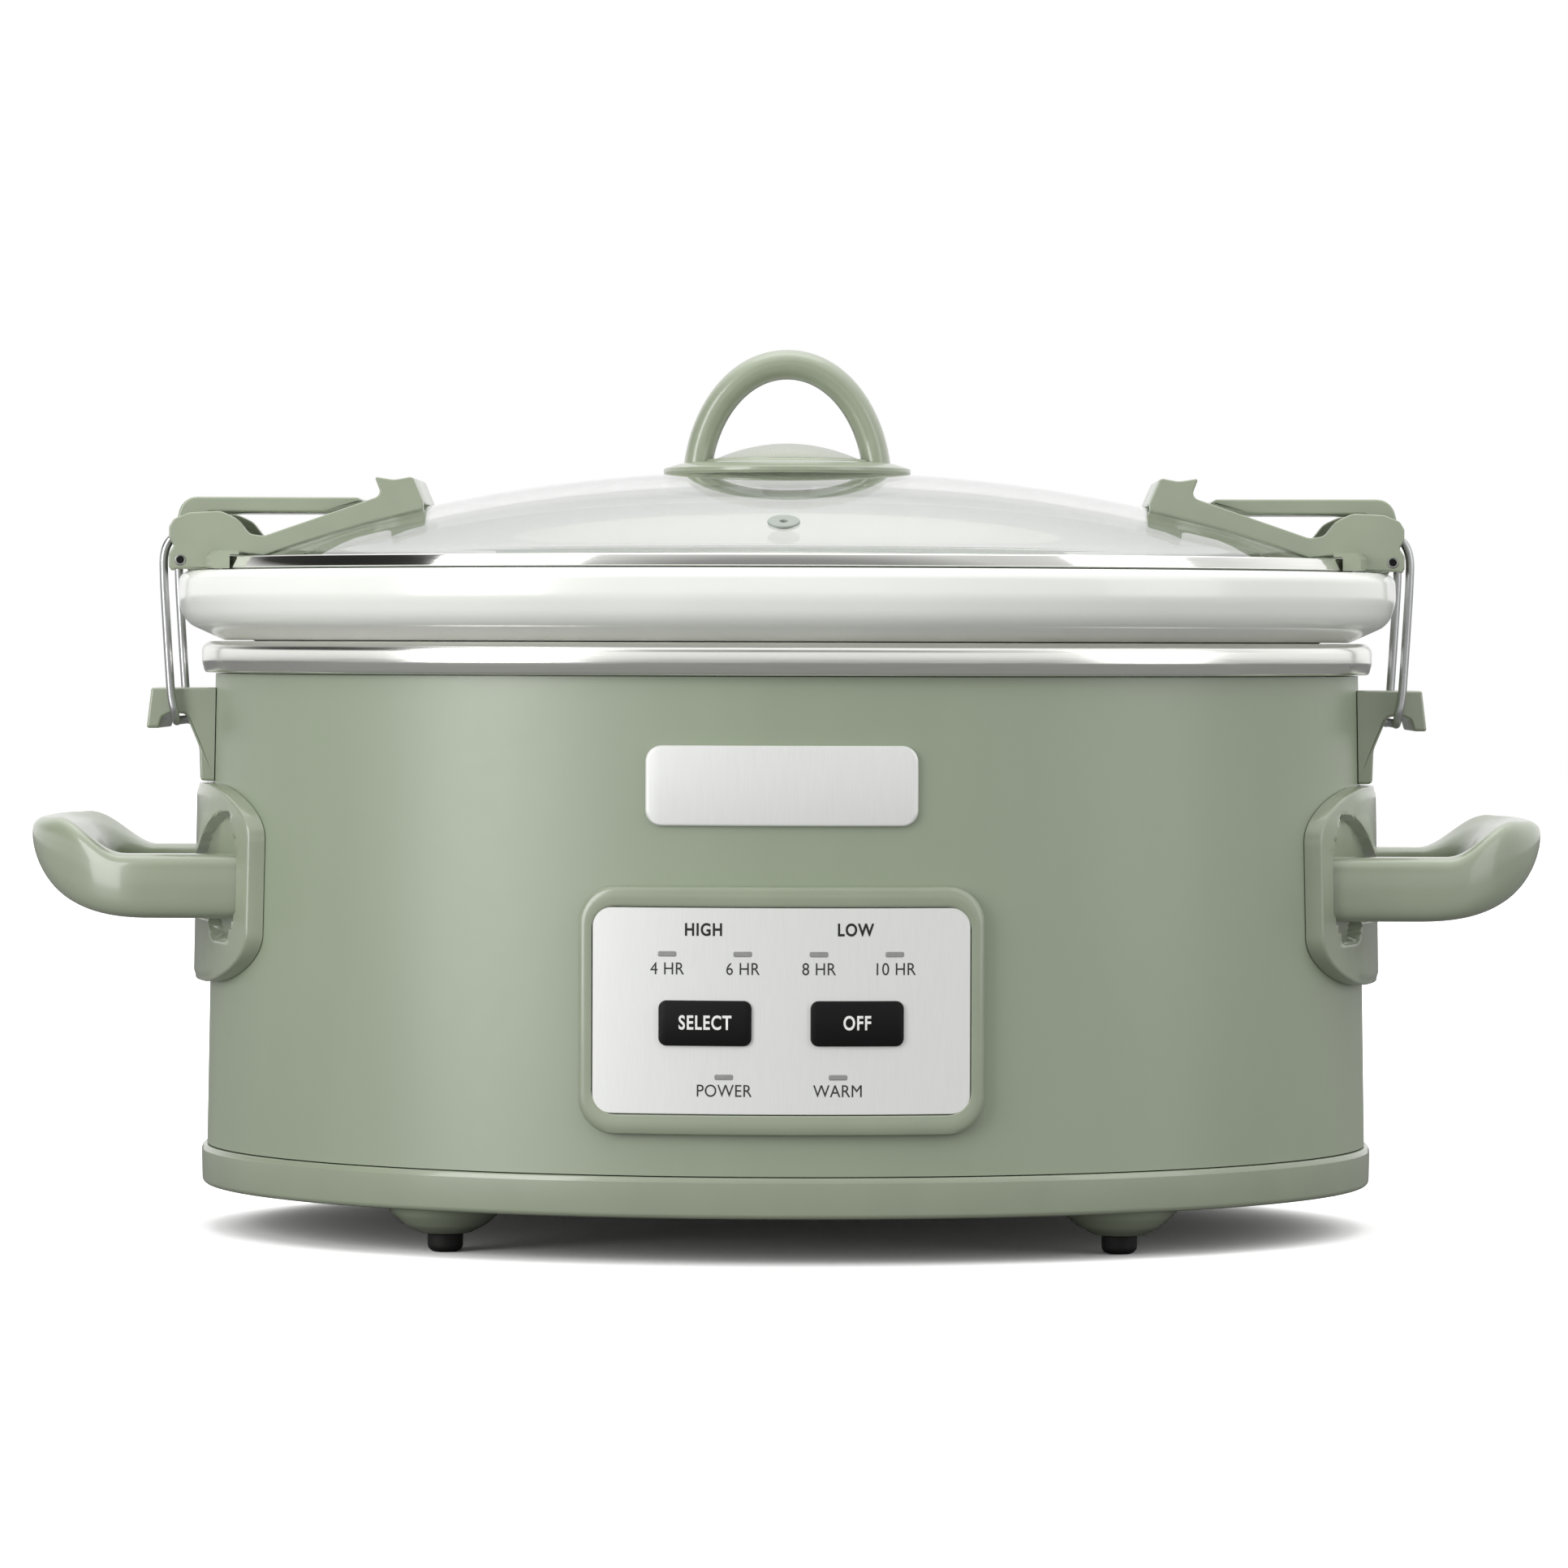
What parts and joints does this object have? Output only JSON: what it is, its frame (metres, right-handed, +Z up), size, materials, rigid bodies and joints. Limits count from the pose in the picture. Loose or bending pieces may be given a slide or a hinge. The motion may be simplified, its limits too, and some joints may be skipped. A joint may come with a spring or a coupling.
{
  "type": "slow cooker",
  "caption": "Oval slow cooker: steel housing on a footed base, lift-out stoneware crock, domed glass lid held by over-centre wire latches, push-button panel.",
  "frame": {"origin": "on the table, under the middle of the cooker", "axes": "+X to the cooker's left hand side seen from behind, along the two carrying handles; -Y towards the control panel; +Z up"},
  "size_m": [0.437, 0.2703, 0.2564],
  "materials": {
    "sage_paint": "satin sage-green paint on sheet steel",
    "sage_plastic": "semi-gloss moulded sage-green plastic",
    "polished_steel": "polished stainless steel",
    "dark_steel": "plain zinc-plated steel",
    "aluminium": "dull drawn aluminium",
    "silver_overlay": "pale silver, finely brushed",
    "white_glaze": "thick off-white glaze",
    "clear_glass": "clear tempered glass",
    "silicone": "grey silicone",
    "black_rubber": "matt black rubber",
    "black_plastic": "satin black plastic",
    "circuit_board": "green solder mask",
    "mica": "tan mica sheet",
    "lens": "smoky translucent plastic"
  },
  "bodies": {
    "base": {"badge_plate": "silver_overlay", "base_pan": "sage_plastic", "catch_screw_left": "dark_steel", "catch_screw_right": "dark_steel", "control_board": "circuit_board", "cord_gland": "black_plastic", "handle_plate_left": "sage_plastic", "handle_plate_right": "sage_plastic", "handle_screw_a_left": "dark_steel", "handle_screw_a_right": "dark_steel", "handle_screw_b_left": "dark_steel", "handle_screw_b_right": "dark_steel", "heat_shield": "aluminium", "heater_band": "mica", "heating_well": "aluminium", "housing_rim": "polished_steel", "latch_catch_left": "sage_plastic", "latch_catch_right": "sage_plastic", "light_pipe_1": "lens", "light_pipe_2": "lens", "light_pipe_3": "lens", "light_pipe_4": "lens", "light_pipe_5": "lens", "light_pipe_6": "lens", "off_switch": "black_plastic", "outer_housing": "sage_paint", "panel_bezel": "sage_plastic", "panel_face": "silver_overlay", "power_board": "circuit_board", "power_relay": "black_plastic", "rubber_foot_front_left": "black_rubber", "rubber_foot_front_right": "black_rubber", "rubber_foot_rear_left": "black_rubber", "rubber_foot_rear_right": "black_rubber", "select_switch": "black_plastic", "side_handle_left": "sage_plastic", "side_handle_right": "sage_plastic", "temperature_sensor": "black_plastic", "thermal_fuse": "dark_steel", "tie_nut": "dark_steel", "tie_stud": "dark_steel"},
    "select_button": {"select_button": "black_plastic"},
    "off_button": {"off_button": "black_plastic"},
    "crock": {"stoneware_crock": "white_glaze"},
    "lid": {"lid_glass": "clear_glass", "lid_rim_band": "polished_steel", "lid_gasket": "silicone", "lid_handle": "sage_plastic", "handle_cap": "silver_overlay", "lid_handle_screw": "dark_steel", "vent_grommet": "silicone", "latch_frame_left": "sage_plastic", "latch_pin_left": "dark_steel", "latch_frame_right": "sage_plastic", "latch_pin_right": "dark_steel"},
    "lever_left": {"latch_lever_left": "sage_plastic"},
    "bail_left": {"latch_bail_left": "polished_steel"},
    "lever_right": {"latch_lever_right": "sage_plastic"},
    "bail_right": {"latch_bail_right": "polished_steel"}
  },
  "joints": [
    {"name": "crock_lift", "type": "slide", "parent": "base", "child": "crock", "axis": [0, 0, 1], "range_m": [0, 0.16]},
    {"name": "lid_lift", "type": "slide", "parent": "crock", "child": "lid", "axis": [0, 0, 1], "range_m": [0, 0.14]},
    {"name": "lever_turn_left", "type": "hinge", "parent": "lid", "child": "lever_left", "pos_m": [-0.175, 0, 0.1942], "axis": [0, -1, 0], "range_deg": [0, 100]},
    {"name": "bail_turn_left", "type": "hinge", "parent": "lever_left", "child": "bail_left", "pos_m": [-0.17293, 0, 0.20193], "axis": [0, -1, 0], "range_deg": [-87, 0]},
    {"name": "lever_turn_right", "type": "hinge", "parent": "lid", "child": "lever_right", "pos_m": [0.175, 0, 0.1942], "axis": [0, 1, 0], "range_deg": [0, 100]},
    {"name": "bail_turn_right", "type": "hinge", "parent": "lever_right", "child": "bail_right", "pos_m": [0.17293, 0, 0.20193], "axis": [0, 1, 0], "range_deg": [-87, 0]},
    {"name": "select_press", "type": "slide", "parent": "base", "child": "select_button", "axis": [0, 1, 0], "range_m": [0, 0.0008], "stiffness_N_per_m": 1500},
    {"name": "off_press", "type": "slide", "parent": "base", "child": "off_button", "axis": [0, 1, 0], "range_m": [0, 0.0008], "stiffness_N_per_m": 1500}
  ],
  "couplings": [
    {"joint": "bail_turn_left", "follows": "lever_turn_left", "ratio": -0.87},
    {"joint": "bail_turn_right", "follows": "lever_turn_right", "ratio": -0.87}
  ]
}
